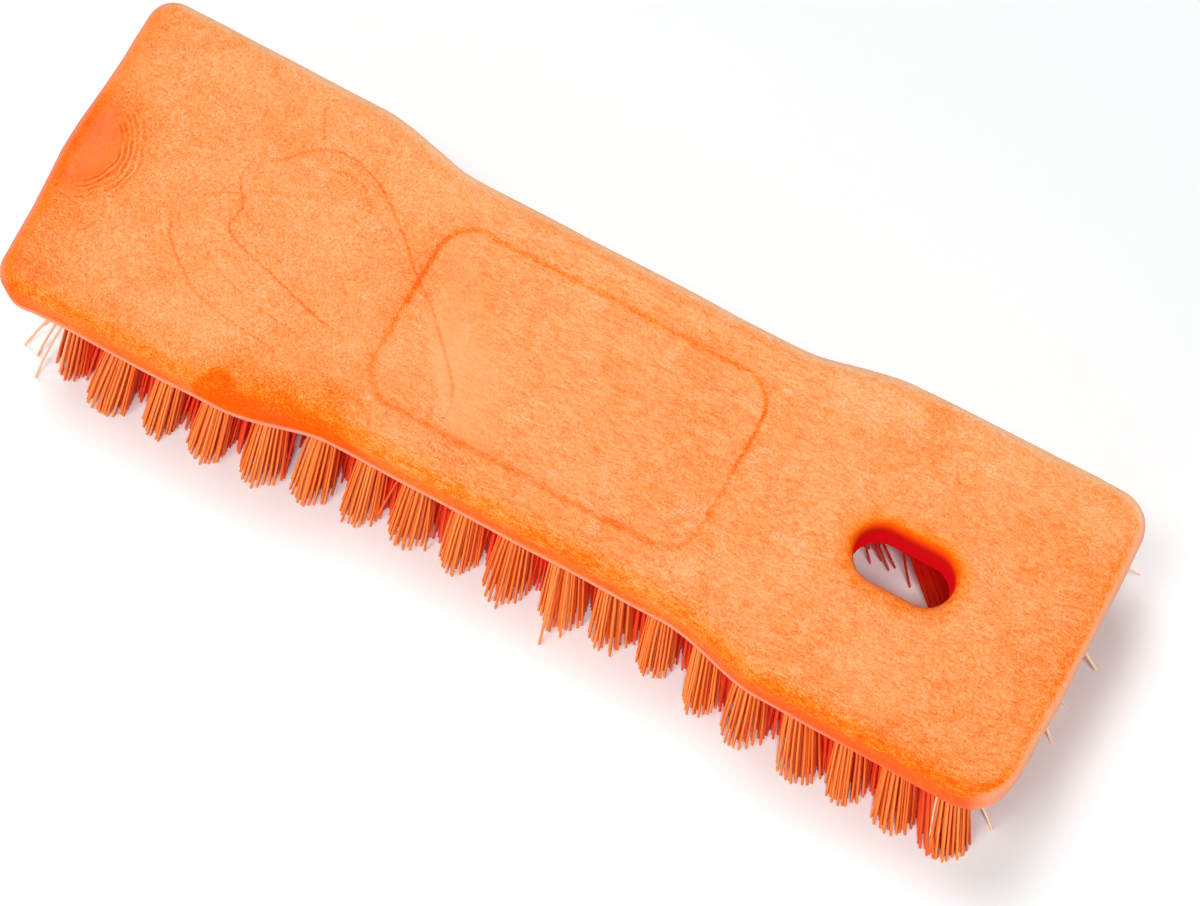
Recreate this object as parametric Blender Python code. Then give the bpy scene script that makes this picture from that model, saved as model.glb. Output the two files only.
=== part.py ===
# Scrub brush: a moulded plastic block with a hanging hole, and tufts of stiff bristle under it.
# Metres, +Z up. The bristle tips stand on z = 0 and the origin is the middle of the footprint.
# X runs along the block towards its hanging hole, and Y runs across it.

import math

import bmesh
import bpy

# Moulded block
BLOCK_LENGTH = 0.200
BLOCK_WIDTH = 0.0605
BLOCK_THICKNESS = 0.014
WAIST_DEPTH = 0.0039
WAIST_HALF_LENGTH = 0.033
WAIST_RUN = 0.021
CORNER_RADIUS = 0.0072
TOP_EDGE_RADIUS = 0.004
BOTTOM_EDGE_RADIUS = 0.0012

# Sunk grip panel on the top face
PANEL_LENGTH = 0.0645
PANEL_WIDTH = 0.0352
PANEL_CORNER = 0.007
PANEL_DEPTH = 0.0006

# Hanging hole, a round-ended slot right through the block
HOLE_LENGTH = 0.0185
HOLE_WIDTH = 0.010
HOLE_FROM_END = 0.034
HOLE_TOP_RADIUS = 0.0027
HOLE_BOTTOM_RADIUS = 0.001
HOLE_LAND_ENDS = 0.002
HOLE_LAND_SIDES = 0.0016

# Shallow pocket under the block, which the backing of the tufts fills
POCKET_DEPTH = 0.003
POCKET_RIM = 0.002
FIT_GAP = 0.0003

# Bristle field
BRISTLE_LENGTH = 0.030
TUFT_PITCH = 0.0097
FIELD_MARGIN = 0.0123
FIELD_SHIFT = 0.0022
OUTER_LANE_INSET = 0.006
EDGE_LANE_GAP = 0.0039
LANES_PER_SIDE = 4
SIDE_FLARE = math.radians(13.5)
END_FLARE = math.radians(10.0)

# One tuft: a ring of strands, which spread towards their tips
STRANDS_ROUND = 3
STRAND_SIDES = 4
STRAND_RADIUS = 0.0006
ROOT_SPREAD = 0.0012
TIP_SPREAD = 0.0030
ROOT_DEPTH = 0.0015

# Facets
CORNER_STEPS = 6
WAIST_STEPS = 8
EDGE_STEPS = 5
HOLE_END_STEPS = 9
PANEL_CORNER_STEPS = 5
CUT_MARGIN = 0.004

# Heights and places that follow from the sizes above
UNDERSIDE = BRISTLE_LENGTH
TOP = BRISTLE_LENGTH + BLOCK_THICKNESS
HOLE_X = BLOCK_LENGTH / 2 - HOLE_FROM_END
HALF_FIELD = BLOCK_LENGTH / 2 - FIELD_MARGIN
COLUMNS = int(2 * HALF_FIELD / TUFT_PITCH + 1e-6) + 1
FIRST_COLUMN = FIELD_SHIFT - (COLUMNS - 1) * TUFT_PITCH / 2
LAND_HALF_WIDTH = HOLE_WIDTH / 2 + HOLE_LAND_SIDES
LAND_HALF_LENGTH = HOLE_LENGTH / 2 + HOLE_LAND_ENDS
ROOT_REACH = ROOT_SPREAD + STRAND_RADIUS

# Finishes, and the angle between faces above which an edge shows as a sharp line
BLOCK_COLOUR = (0.956, 0.270, 0.075, 1.0)
BLOCK_ROUGHNESS = 0.45
BLOCK_SHARP = math.radians(35.0)
BRISTLE_COLOUR = (0.913, 0.171, 0.038, 1.0)
BRISTLE_ROUGHNESS = 0.42
BRISTLE_SHARP = math.radians(50.0)


def clear_scene():
    for thing in list(bpy.data.objects):
        bpy.data.objects.remove(thing, do_unlink=True)


def plastic(name, colour, roughness):
    material = bpy.data.materials.new(name)
    material.use_nodes = True
    shader = material.node_tree.nodes["Principled BSDF"]
    shader.inputs["Base Color"].default_value = colour
    shader.inputs["Roughness"].default_value = roughness
    shader.inputs["Metallic"].default_value = 0.0
    material.diffuse_color = colour
    return material


def side_half_width(x):
    """Half the block's width at x along its sides, which draw in at the waist."""
    run = min(max((abs(x) - WAIST_HALF_LENGTH) / WAIST_RUN, 0.0), 1.0)
    rise = run * run * (3.0 - 2.0 * run)
    return BLOCK_WIDTH / 2 - WAIST_DEPTH * (1.0 - rise)


def half_width(x, inset):
    """Half the width at x of the plan outline drawn in by inset, with its round corners."""
    radius = CORNER_RADIUS - inset
    past_corner = abs(x) - (BLOCK_LENGTH / 2 - CORNER_RADIUS)
    width = side_half_width(x) - inset
    if past_corner <= 0.0:
        return width
    return width - radius + math.sqrt(max(radius * radius - past_corner * past_corner, 0.0))


def stations(inset):
    """Places along X where the outline needs a point, from the -X end to the +X end."""
    corner_x = BLOCK_LENGTH / 2 - CORNER_RADIUS
    radius = CORNER_RADIUS - inset
    right = [WAIST_HALF_LENGTH + WAIST_RUN * i / WAIST_STEPS for i in range(WAIST_STEPS + 1)]
    for i in range(CORNER_STEPS + 1):
        right.append(corner_x + radius * math.sin(0.5 * math.pi * i / CORNER_STEPS))
    return [-x for x in reversed(right)] + right


def outline(inset):
    """The block's plan outline drawn in by inset, anticlockwise from above."""
    places = stations(inset)
    near = [(x, -half_width(x, inset)) for x in places]
    far = [(x, half_width(x, inset)) for x in reversed(places)]
    return near + far


def round_slot(length, width, steps):
    """A slot with half-round ends about the origin, anticlockwise from above."""
    radius = width / 2
    reach = length / 2 - radius
    points = []
    for centre_x, start in ((reach, -0.5 * math.pi), (-reach, 0.5 * math.pi)):
        for i in range(steps + 1):
            angle = start + math.pi * i / steps
            points.append((centre_x + radius * math.cos(angle), radius * math.sin(angle)))
    return points


def round_rectangle(length, width, radius, steps):
    points = []
    corners = ((1, -1, -0.5), (1, 1, 0.0), (-1, 1, 0.5), (-1, -1, 1.0))
    for side_x, side_y, turn in corners:
        for i in range(steps + 1):
            angle = math.pi * (turn + 0.5 * i / steps)
            x = side_x * (length / 2 - radius) + radius * math.cos(angle)
            y = side_y * (width / 2 - radius) + radius * math.sin(angle)
            points.append((x, y))
    return points


def loft(name, rings, location=(0.0, 0.0, 0.0)):
    """A closed solid through rings of (height, outline points), listed from the bottom up."""
    mesh = bmesh.new()
    loops = [[mesh.verts.new((x, y, z)) for x, y in points] for z, points in rings]
    for lower, upper in zip(loops, loops[1:]):
        for i in range(len(lower)):
            j = (i + 1) % len(lower)
            mesh.faces.new((lower[i], lower[j], upper[j], upper[i]))
    mesh.faces.new(list(reversed(loops[0])))
    mesh.faces.new(loops[-1])
    return add_object(name, mesh, location)


def add_object(name, mesh, location=(0.0, 0.0, 0.0)):
    data = bpy.data.meshes.new(name)
    mesh.to_mesh(data)
    mesh.free()
    thing = bpy.data.objects.new(name, data)
    thing.location = location
    bpy.context.scene.collection.objects.link(thing)
    return thing


def as_guide(thing):
    thing.hide_render = True
    thing.display_type = "WIRE"
    return thing


def combine(thing, other, operation):
    modifier = thing.modifiers.new(other.name, "BOOLEAN")
    modifier.operation = operation
    modifier.solver = "EXACT"
    modifier.object = other


def finish_surface(thing, material, angle):
    thing.data.materials.append(material)
    thing.data.shade_smooth()
    thing.data.set_sharp_from_angle(angle=angle)


def edge_sections(bottom_radius, top_radius):
    """Heights from the underside to the top, each with how far a rounded edge sets the wall back."""
    sections = []
    for i in range(EDGE_STEPS + 1):
        angle = 0.5 * math.pi * i / EDGE_STEPS
        height = UNDERSIDE + bottom_radius * (1.0 - math.cos(angle))
        sections.append((height, bottom_radius * (1.0 - math.sin(angle))))
    for i in range(EDGE_STEPS + 1):
        angle = 0.5 * math.pi * (1.0 - i / EDGE_STEPS)
        height = TOP - top_radius * (1.0 - math.cos(angle))
        sections.append((height, top_radius * (1.0 - math.sin(angle))))
    return sections


def block_body():
    rings = [(height, outline(setback))
             for height, setback in edge_sections(BOTTOM_EDGE_RADIUS, TOP_EDGE_RADIUS)]
    return loft("block", rings)


def hole_cutter():
    """The hanging hole, which widens into a soft edge above and a small one below."""
    sections = [(UNDERSIDE - CUT_MARGIN, HOLE_BOTTOM_RADIUS)]
    sections += edge_sections(HOLE_BOTTOM_RADIUS, HOLE_TOP_RADIUS)
    sections.append((TOP + CUT_MARGIN, HOLE_TOP_RADIUS))
    rings = [(height, round_slot(HOLE_LENGTH + 2 * wider, HOLE_WIDTH + 2 * wider, HOLE_END_STEPS))
             for height, wider in sections]
    return as_guide(loft("hanging_hole_cutter", rings, (HOLE_X, 0.0, 0.0)))


def panel_cutter():
    plan = round_rectangle(PANEL_LENGTH, PANEL_WIDTH, PANEL_CORNER, PANEL_CORNER_STEPS)
    return as_guide(loft("panel_cutter", [(TOP - PANEL_DEPTH, plan), (TOP + CUT_MARGIN, plan)]))


def pocket_cutter(land):
    """Removes the shallow pocket under the block, but for the land round the hanging hole."""
    plan = outline(POCKET_RIM)
    pocket = loft("pocket_cutter", [(UNDERSIDE - CUT_MARGIN, plan), (UNDERSIDE + POCKET_DEPTH, plan)])
    start, end = land
    keep = [(start, -LAND_HALF_WIDTH), (end, -LAND_HALF_WIDTH), (end, LAND_HALF_WIDTH),
            (start, LAND_HALF_WIDTH)]
    island = loft("hole_land_guide", [(UNDERSIDE - 2 * CUT_MARGIN, keep), (TOP, keep)])
    combine(pocket, as_guide(island), "DIFFERENCE")
    return as_guide(pocket)


def column_x(column):
    return FIRST_COLUMN + column * TUFT_PITCH


def backing_span(column):
    """Where the backing slice of a column starts and ends along X, with no fitting gap."""
    start = column_x(column) - TUFT_PITCH / 4
    end = start + TUFT_PITCH
    if column == 0:
        start = -BLOCK_LENGTH / 2 + POCKET_RIM
    if column == COLUMNS - 1:
        end = BLOCK_LENGTH / 2 - POCKET_RIM
    return start, end


def meets_hole(column):
    start, end = backing_span(column)
    return start < HOLE_X + LAND_HALF_LENGTH and end > HOLE_X - LAND_HALF_LENGTH


def hole_land():
    """The stretch along X that stays solid round the hole: whole columns of the field."""
    spans = [backing_span(column) for column in range(COLUMNS) if meets_hole(column)]
    return spans[0][0], spans[-1][1]


def lane_share(x, lane):
    """How far out a lane lies at x, from 0 in the middle to 1 for the outermost. The outer two lie close."""
    if abs(lane) == LANES_PER_SIDE:
        return math.copysign(1.0, lane)
    outer = half_width(x, 0.0) - OUTER_LANE_INSET
    return (1.0 - EDGE_LANE_GAP / outer) * lane / (LANES_PER_SIDE - 1)


def tuft_roots(column):
    """Root centres (x, y, share) of a column: alternate lanes stand half a pitch further along."""
    roots = []
    for lane in range(-LANES_PER_SIDE, LANES_PER_SIDE + 1):
        shifted = (lane + LANES_PER_SIDE) % 2 == 1
        if shifted and column == COLUMNS - 1:
            continue
        if lane == 0 and meets_hole(column):
            continue
        x = column_x(column) + (TUFT_PITCH / 2 if shifted else 0.0)
        share = lane_share(x, lane)
        y = (half_width(x, 0.0) - OUTER_LANE_INSET) * share
        if meets_hole(column):
            y = math.copysign(max(abs(y), LAND_HALF_WIDTH + FIT_GAP + ROOT_REACH), lane)
        roots.append((x, y, share))
    return roots


def strand_rings(x, y, share, away_x, away_y):
    """The strand's square section at its buried root and at its flat tip on z = 0."""
    lean_x = math.tan(END_FLARE * x / HALF_FIELD) * BRISTLE_LENGTH
    lean_y = math.tan(SIDE_FLARE * share) * BRISTLE_LENGTH
    rings = []
    for height in (0.0, UNDERSIDE + ROOT_DEPTH):
        down = (UNDERSIDE - height) / BRISTLE_LENGTH
        spread = ROOT_SPREAD + (TIP_SPREAD - ROOT_SPREAD) * down
        centre_x = x + lean_x * down + spread * away_x
        centre_y = y + lean_y * down + spread * away_y
        ring = []
        for i in range(STRAND_SIDES):
            angle = 2 * math.pi * i / STRAND_SIDES
            ring.append((centre_x + STRAND_RADIUS * math.cos(angle),
                         centre_y + STRAND_RADIUS * math.sin(angle), height))
        rings.append(ring)
    return rings


def strands_object(name, roots):
    mesh = bmesh.new()
    for x, y, share in roots:
        for place in range(STRANDS_ROUND):
            turn = 2 * math.pi * (place + 0.5) / STRANDS_ROUND
            tip, root = [[mesh.verts.new(point) for point in ring]
                         for ring in strand_rings(x, y, share, math.cos(turn), math.sin(turn))]
            for i in range(STRAND_SIDES):
                j = (i + 1) % STRAND_SIDES
                mesh.faces.new((tip[i], tip[j], root[j], root[i]))
            mesh.faces.new(list(reversed(tip)))
            mesh.faces.new(root)
    return as_guide(add_object(name, mesh))


def backing_plan(start, end, side):
    """Plan of a backing slice. Side 0 spans the block, and 1 or -1 is one side of the hole's land."""
    inset = POCKET_RIM + FIT_GAP
    places = [start] + [x for x in stations(inset) if start + FIT_GAP < x < end - FIT_GAP] + [end]
    far = [(x, half_width(x, inset)) for x in places]
    if side == 0:
        near = [(x, -y) for x, y in far]
    else:
        near = [(start, LAND_HALF_WIDTH + FIT_GAP), (end, LAND_HALF_WIDTH + FIT_GAP)]
    plan = near + far[::-1]
    if side < 0:
        plan = [(x, -y) for x, y in plan[::-1]]
    return plan


def tuft_row(name, column, side):
    """One row of tufts across the block, with the slice of backing that holds their roots."""
    start, end = backing_span(column)
    start += FIT_GAP if column == 0 else FIT_GAP / 2
    end -= FIT_GAP if column == COLUMNS - 1 else FIT_GAP / 2
    plan = backing_plan(start, end, side)
    row = loft(name, [(UNDERSIDE, plan), (UNDERSIDE + POCKET_DEPTH - FIT_GAP, plan)])
    roots = [root for root in tuft_roots(column) if side == 0 or root[1] * side > 0]
    combine(row, strands_object(name + "_strands", roots), "UNION")
    finish_surface(row, plastic(name + "_bristle", BRISTLE_COLOUR, BRISTLE_ROUGHNESS), BRISTLE_SHARP)
    return row


def main():
    clear_scene()
    block = block_body()
    combine(block, pocket_cutter(hole_land()), "DIFFERENCE")
    combine(block, hole_cutter(), "DIFFERENCE")
    combine(block, panel_cutter(), "DIFFERENCE")
    finish_surface(block, plastic("block_plastic", BLOCK_COLOUR, BLOCK_ROUGHNESS), BLOCK_SHARP)
    for column in range(COLUMNS):
        name = f"tuft_row_{column + 1:02d}"
        if meets_hole(column):
            tuft_row(name + "_far", column, 1)
            tuft_row(name + "_near", column, -1)
        else:
            tuft_row(name, column, 0)


main()
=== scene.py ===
# Scrub brush, dressed: the moulded block with its flow marks and sunk panel, and every filament of its tufts.
# Metres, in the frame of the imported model: the bristle tips stand on z = 0.

from collections import namedtuple
from functools import reduce
import math

import bpy
import numpy as np
from mathutils import Matrix, Vector, noise
from mathutils.geometry import delaunay_2d_cdt


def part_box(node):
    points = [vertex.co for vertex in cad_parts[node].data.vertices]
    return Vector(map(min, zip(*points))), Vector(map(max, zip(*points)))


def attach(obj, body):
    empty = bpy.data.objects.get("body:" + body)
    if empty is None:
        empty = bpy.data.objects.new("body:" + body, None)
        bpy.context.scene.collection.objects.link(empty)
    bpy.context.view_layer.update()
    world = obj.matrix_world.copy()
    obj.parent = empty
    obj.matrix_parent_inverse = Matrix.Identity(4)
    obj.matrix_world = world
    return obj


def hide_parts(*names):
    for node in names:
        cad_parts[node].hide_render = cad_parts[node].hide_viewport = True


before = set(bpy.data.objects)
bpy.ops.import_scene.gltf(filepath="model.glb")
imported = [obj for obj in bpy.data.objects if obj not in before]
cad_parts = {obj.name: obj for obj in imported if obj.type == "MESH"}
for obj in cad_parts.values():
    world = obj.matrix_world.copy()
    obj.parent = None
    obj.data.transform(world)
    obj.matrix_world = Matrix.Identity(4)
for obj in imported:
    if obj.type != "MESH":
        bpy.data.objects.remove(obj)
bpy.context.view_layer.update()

MM = 0.001
BODY = "root"

# The block, from the frame
BLOCK_LOW, BLOCK_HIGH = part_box("block")
HALF_LENGTH = (BLOCK_HIGH.x - BLOCK_LOW.x) / 2
HALF_WIDTH = (BLOCK_HIGH.y - BLOCK_LOW.y) / 2
UNDERSIDE = BLOCK_LOW.z
TOP = BLOCK_HIGH.z
BRISTLE_LENGTH = UNDERSIDE

# Sizes of the block that the frame's boxes don't give
WAIST_DEPTH = 3.9 * MM
WAIST_HALF_LENGTH = 33 * MM
WAIST_RUN = 21 * MM
CORNER_RADIUS = 7.2 * MM
NEAR_LEFT_RADIUS = 6.6 * MM
NEAR_RIGHT_RADIUS = 8.8 * MM
FAR_RIGHT_RADIUS = 6.9 * MM
FAR_LEFT_RADIUS = 5.3 * MM
# How far each side swells (or draws in) at places along it, in millimetres: (place, swell)
LEFT_END_SHAPE = (
    (-26, -0.7), (-16, -0.4), (-9, 0.25), (-4, 0.7), (2, 0.68), (10, 0.22), (16, 0.0), (20, 0.1), (26, 0.1))
RIGHT_END_SHAPE = ((-26, -0.05), (-18, -0.05), (-8, 0.2), (2, 0.2), (14, 0.1), (22, -0.1))
FAR_SHAPE = (
    (-88, 0.2), (-70, 0.1), (-60, -0.05), (-50, 0.1), (-40, 0.55), (-30, 0.15), (-18, 0.25), (4, 0.25),
    (20, 0.1), (30, 0.1), (41, 0.45), (54, 0.0), (70, 0.4), (80, 0.3), (88, 0.6), (96, 0.3))
NEAR_SHAPE = (
    (-98, 1.55), (-96.5, 1.5), (-94.8, 1.0), (-92.5, 0.6), (-90, 0.5), (-86, 0.35), (-70, 0.3), (-50, 0.0),
    (55, 0.0), (75, 0.3), (96, 0.5))
TOP_EDGE_RADIUS = 4 * MM
BOTTOM_EDGE_RADIUS = 1.2 * MM
RIM_HEIGHT = 3.2 * MM
PANEL_LENGTH = 64.5 * MM
PANEL_WIDTH = 35.2 * MM
PANEL_CORNER = 7 * MM
PANEL_DEPTH = 0.6 * MM
PANEL_STEP = 0.5 * MM
# The step is twice as wide on the near side: where across the panel it widens, and how that slants
PANEL_NEAR, PANEL_SLANT = (0.3, -0.5), 0.3
# Wavers of the panel's edge and of the block's sides, each with the (scale, seed) of its noise
PANEL_WAVER, PANEL_WAVER_NOISE = 0.25 * MM, (120, 5.5)
SIDE_WAVER, SIDE_WAVER_NOISE = 0.22 * MM, (95, 2.2)
HOLE_X = HALF_LENGTH - 34 * MM
HOLE_LENGTH = 18.5 * MM
HOLE_WIDTH = 10 * MM
HOLE_TOP_RADIUS = 2.7 * MM
HOLE_BOTTOM_RADIUS = 1 * MM
HOLE_LAND_ENDS = 2 * MM
HOLE_LAND_SIDES = 1.6 * MM

# The tuft field, as the model has it
TUFT_PITCH = 9.7 * MM
FIELD_MARGIN = 12.3 * MM
FIELD_SHIFT = 2.2 * MM
OUTER_LANE_INSET = 6 * MM
EDGE_LANE_GAP = 3.9 * MM
LANES_PER_SIDE = 4
SIDE_FLARE = math.radians(13.5)
END_FLARE = math.radians(10.0)
FIT_GAP = 0.3 * MM
ROOT_REACH = 1.8 * MM
HALF_FIELD = HALF_LENGTH - FIELD_MARGIN
COLUMNS = int(2 * HALF_FIELD / TUFT_PITCH + 1e-6) + 1
FIRST_COLUMN = FIELD_SHIFT - (COLUMNS - 1) * TUFT_PITCH / 2
LAND_HALF_WIDTH = HOLE_WIDTH / 2 + HOLE_LAND_SIDES
LAND_HALF_LENGTH = HOLE_LENGTH / 2 + HOLE_LAND_ENDS

# One tuft: filaments folded double over a flat wire at the bottom of a blind hole
SOCKET_RADIUS = 2.3 * MM
SOCKET_MOUTH = 0.25 * MM
SOCKET_DEPTH = 9.8 * MM
SOCKET_SIDES = 16
SOCKET_PROFILE = ((0.3 * MM, SOCKET_RADIUS), (SOCKET_DEPTH / 2, SOCKET_RADIUS),
                  (SOCKET_DEPTH - 0.8 * MM, SOCKET_RADIUS), (SOCKET_DEPTH, 0.5 * SOCKET_RADIUS))
FILAMENT_RADIUS = 0.25 * MM
FILAMENT_SIDES = 6
FILAMENT_SPACING = 0.53 * MM
LAYER_SPACING = 0.46 * MM
LAYERS = 4
TIP_FAN = 1.9
FAN_POWER = 0.6
FOLD_DEPTH = 6.7 * MM
WIRE_HEIGHT = 2.0 * MM
WIRE_THICKNESS = 0.4 * MM
WIRE_REACH = SOCKET_RADIUS - 0.05 * MM
SHARP_ANGLE = math.radians(60.0)
WIRE_TURN = math.radians(45.0)
TURN_JITTER = 0.12
FAN_JITTER = 0.15
TRIM_JITTER = 0.15 * MM
TIP_JITTER = 0.22 * MM
BEND_JITTER = 0.1 * MM
LEAN_JITTER = 0.45 * MM
STRAY_SHARE = 0.03
STRAY_JITTER = 1.3 * MM
# Tips that reach past the free splay are drawn in, so that none lies more than this much past it
FREE_SPLAY = 34.5 * MM
MORE_SPLAY = 0.95 * MM
MOST_TIP_CUT = 2.4 * MM
MEAN_TIP_CUT = 0.35 * MM
SHAFT_PLACES = (1.0, 0.72, 0.42, 0.16, 0.0)
FOLD_PLACES = 5
# Painted shade of an outer tuft's filaments, by how deep they seem to stand among the others: by their place
# in the tuft, by which way each flank faces, and how much less towards the tips
DEEPEST_SHADE_AT_EDGE, EDGE_PLACES = 0.8, (0.7, -0.6)
FLANK_SHADE_DEPTH, FLANK_FACING = 0.5, (0.95, 0.25)
TIP_DAYLIGHT, DAYLIGHT_PLACES = 0.6, (0.3, 1.0)
RANDOM_SEED = 11

# Tufts that stand out from the rest, by (column, lane): how much further their tips lie, in millimetres
EXTRA_LEANS = {
    (0, -4): (0.0, 1.0), (5, -4): (0.0, -1.0), (15, -4): (0.0, -1.0), (17, -3): (3.4, -4.5),
    (14, 1): (-2.3, 2.8), (15, 1): (4.3, -2.7)}
NARROW_TUFTS = {(15, 1): 1.15}
THIN_TUFTS = {(4, -3): 5}
THIN_JITTER = 2.2 * MM
# Single filaments that have sprung away from their tuft, by the place of the tip in millimetres
SPRUNG_TIPS = {
    (0, -4): ((-99.7, -30.8, 0.0), (-96.6, -31.4, 0.0), (-94.7, -36.0, 0.0), (-94.0, -28.5, 15.0)),
    (18, 4): ((103.0, 27.2, 10.0),),
    (18, 2): ((104.0, 9.0, 5.0),),
    (18, 0): ((102.2, 1.6, 0.0), (103.3, -5.9, 0.0)),
    (18, -4): ((101.0, -25.2, 0.0),),
    (14, 1): ((58.7, 8.1, 0.0), (60.3, 9.5, 0.0), (62.3, 8.5, 0.0), (63.1, 9.5, 0.0)),
    (15, 1): ((67.2, 7.6, 0.0),)}
# Their tints at the two ends, where they are paler than the rest: at the right end a painted backlight, at
# the left end half as pale
SPRUNG_TINTS = {0: 1.5, COLUMNS - 1: 2.0}

SQUARE = np.array(((-1, -1), (1, -1), (1, 1), (-1, 1)))

# Fineness of the block's mesh
OUTLINE_STEP = 0.9 * MM
EDGE_STEPS = 9
WALL_STEPS = 9
HOLE_EDGE_STEPS = 8
HOLE_WALL_STEPS = 7
LOW_EDGE_STEPS = 3
SLOT_POINTS = 120
COARSE_GRID = 0.62 * MM
FINE_GRID = 0.3 * MM
FEATURE_REACH = 0.75 * MM
PANEL_EDGE_REACH = 1.1 * MM
UNDERSIDE_GRID = 2.2 * MM
ROW_SHARE = 0.87
INSET_BATCH = 4000
CLEAR_OF_EDGE = 0.12 * MM
CLEAR_OF_SOCKET, CLEAR_OF_HOLE, CLEAR_OF_SIDE = 0.8 * MM, 1.8 * MM, 2.2 * MM

# Marks that the plastic left as it flowed into the mould: (strength, points in millimetres on the top face)
TONGUE = (
    (-70, 9), (-65, 12), (-60, 17), (-55, 18.7), (-50, 17.8), (-45, 15.4), (-39, 10.8), (-33, 5.2),
    (-28, 1.5), (-21, -5.5), (-17, -10.4), (-15.6, -16.8))
FLOW_MARKS = (
    (1.0, TONGUE),
    (1.1, ((-70, 9), (-68.7, 5), (-66.2, 1.8), (-66.3, -3), (-62.6, -5), (-56, -6.7), (-45, -9.8),
           (-36, -11))),
    (0.8, ((-57, 14.6), (-53, 15.6), (-49.5, 15.1), (-46.7, 12.8), (-45.5, 10.6))),
    (0.5, ((-67, 4.5), (-63.4, 6), (-59, 7.5), (-56.6, 6.2))),
    (0.6, ((-80.5, 5.3), (-76.7, 2.6), (-73.8, 0.3), (-70.3, 2.2), (-67, 3.8))),
    (0.9, ((-77, -4.7), (-75.5, -7.8), (-74, -10), (-69, -14), (-64.6, -16.3), (-55.5, -18), (-46, -18.8))),
    (0.6, ((-70, -6), (-66, -9.6), (-60, -12), (-52, -13.6), (-44, -14.4))),
    (0.7, ((-62.8, 24.7), (-61.3, 22), (-59.5, 18.6))),
    (0.4, ((-88, 25.2), (-86, 22.3), (-84, 21.8))),
    (0.35, ((-53.6, -20), (-48.8, -19.2), (-42.2, -17.8), (-33.2, -19.7), (-20, -18.6))),
    (0.6, ((-88, -9.3), (-87.2, -11.6), (-88, -14.5), (-90, -17))))
FLOW_DEPTH = 0.13 * MM
FLOW_WIDTH = 0.24 * MM
FLOW_FADE = 0.12
FLOW_TONE = 0.65
# Slow waves of the top face: (height in millimetres, scale, seed)
TOP_WAVES = ((0.11, 55, 3.1), (0.05, 160, 7.7))
# Towards the top face's edges its relief sinks: to which share at least, and over which distances
LEAST_RELIEF, RELIEF_RISE = 0.1, (-0.5 * MM, 1.5 * MM)

# The mark round the mould's gate, at the end away from the hole
GATE_X, GATE_Y = -97.5 * MM, -1.6 * MM
GATE_DISC = 9 * MM
GATE_FLOOR = 0.55 * GATE_DISC
GATE_SINK = 0.25 * MM
RIPPLE_START, RIPPLE_END, RIPPLE_PITCH = 6.6 * MM, 12.6 * MM, 1.05 * MM
RIPPLE_HEIGHT = 0.12 * MM
RIPPLE_SWAY = 1.9 * MM

# The tone says how deep the orange is: partly the plastic's own colour, partly painted shade and light by the
# edges, and the painted red shade in the hole; about 0 on the plain top, up to 2 for the red in the hole.
# Patches of it in plan: how much deeper, and where in millimetres it starts and is full by each measure.
# The measures near and far are distances inside those edges, gate is the distance from the gate, and slant
# is the distance right of the slanting line at which the wet patch starts.
PLAN_PATCHES = (
    (0.75, ("x", -81, -97), ("y", 17, 3)),
    (0.3, ("gate", 15, 6)),
    (0.3, ("x", -92, -97), ("y", 10, 17)),
    (0.25, ("x", 74, 92)),
    (-0.35, ("x", 78, 85), ("y", 17, 22)),
    (-0.12, ("far", 14, 4), ("x", -85, -65)),
    # The near entries paint shade: a deeper orange band where the top turns down to the near edge
    (0.02, ("near", 9, 4)),
    (0.08, ("near", 9, 4), ("x", -90, -76)),
    (0.1, ("near", 9, 4), ("x", 30, 60)),
    (0.06, ("near", 4.5, 2.5)),
    (0.24, ("near", 4.5, 2.5), ("x", -90, -76)))
TOP_PATCHES = (
    (0.1, ("x", 25, 45), ("y", 0, -8), ("y", -27, -24)),
    (-0.2, ("y", 14, 26), ("x", -32, -20), ("x", 62, 50)))
# Painted shade along the panel's sunk step: (how much deeper, how far outside the edge, spread), in
# millimetres
PANEL_EDGE_SHADE = ((0.75, 0.1, 0.55), (0.18, 1.2, 2.2))
# The share of that painted shade on the panel's near side
NEAR_PANEL_SHARE = 0.45
# Painted shade round the hanging hole, deeper where the top turns down into it: (how much deeper, distance
# from the slot where it starts and is full)
FAR_HOLE_SHADE = (0.3, 5.0, 2.6)
NEAR_HOLE_SHADE = (0.35, 4.2, 2.8)
# Half the width of the blend from the hole's near side to its far side, whose wall has a painted red shade
# that glows, and its slant
FAR_BLEND, FAR_SLANT = 3 * MM, 0.2
# Painted shade down the hole's far side, deepening to a glowing red: its tone by the share of the block's
# thickness
HOLE_GLOW = ((0.0, 0.15), (0.01, 0.4), (0.03, 0.65), (0.065, 1.2), (0.1, 1.53), (0.19, 1.66), (0.38, 1.8),
             (0.57, 1.86), (0.76, 1.95))
# Painted shade down its near side: the tone at the top, how much deeper it gets and between which shares
NEAR_HOLE_TONE, NEAR_HOLE_DEEPER, NEAR_HOLE_DOWN = 0.4, 1.6, (0.08, 0.2)
# The grain down its walls: how much of it the far side has, and where it fades out on either side
FAR_HOLE_GRAIN, FAR_GRAIN_DOWN, NEAR_GRAIN_DOWN = 0.7, (0.2, -0.02), (0.2, 0.12)
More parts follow.
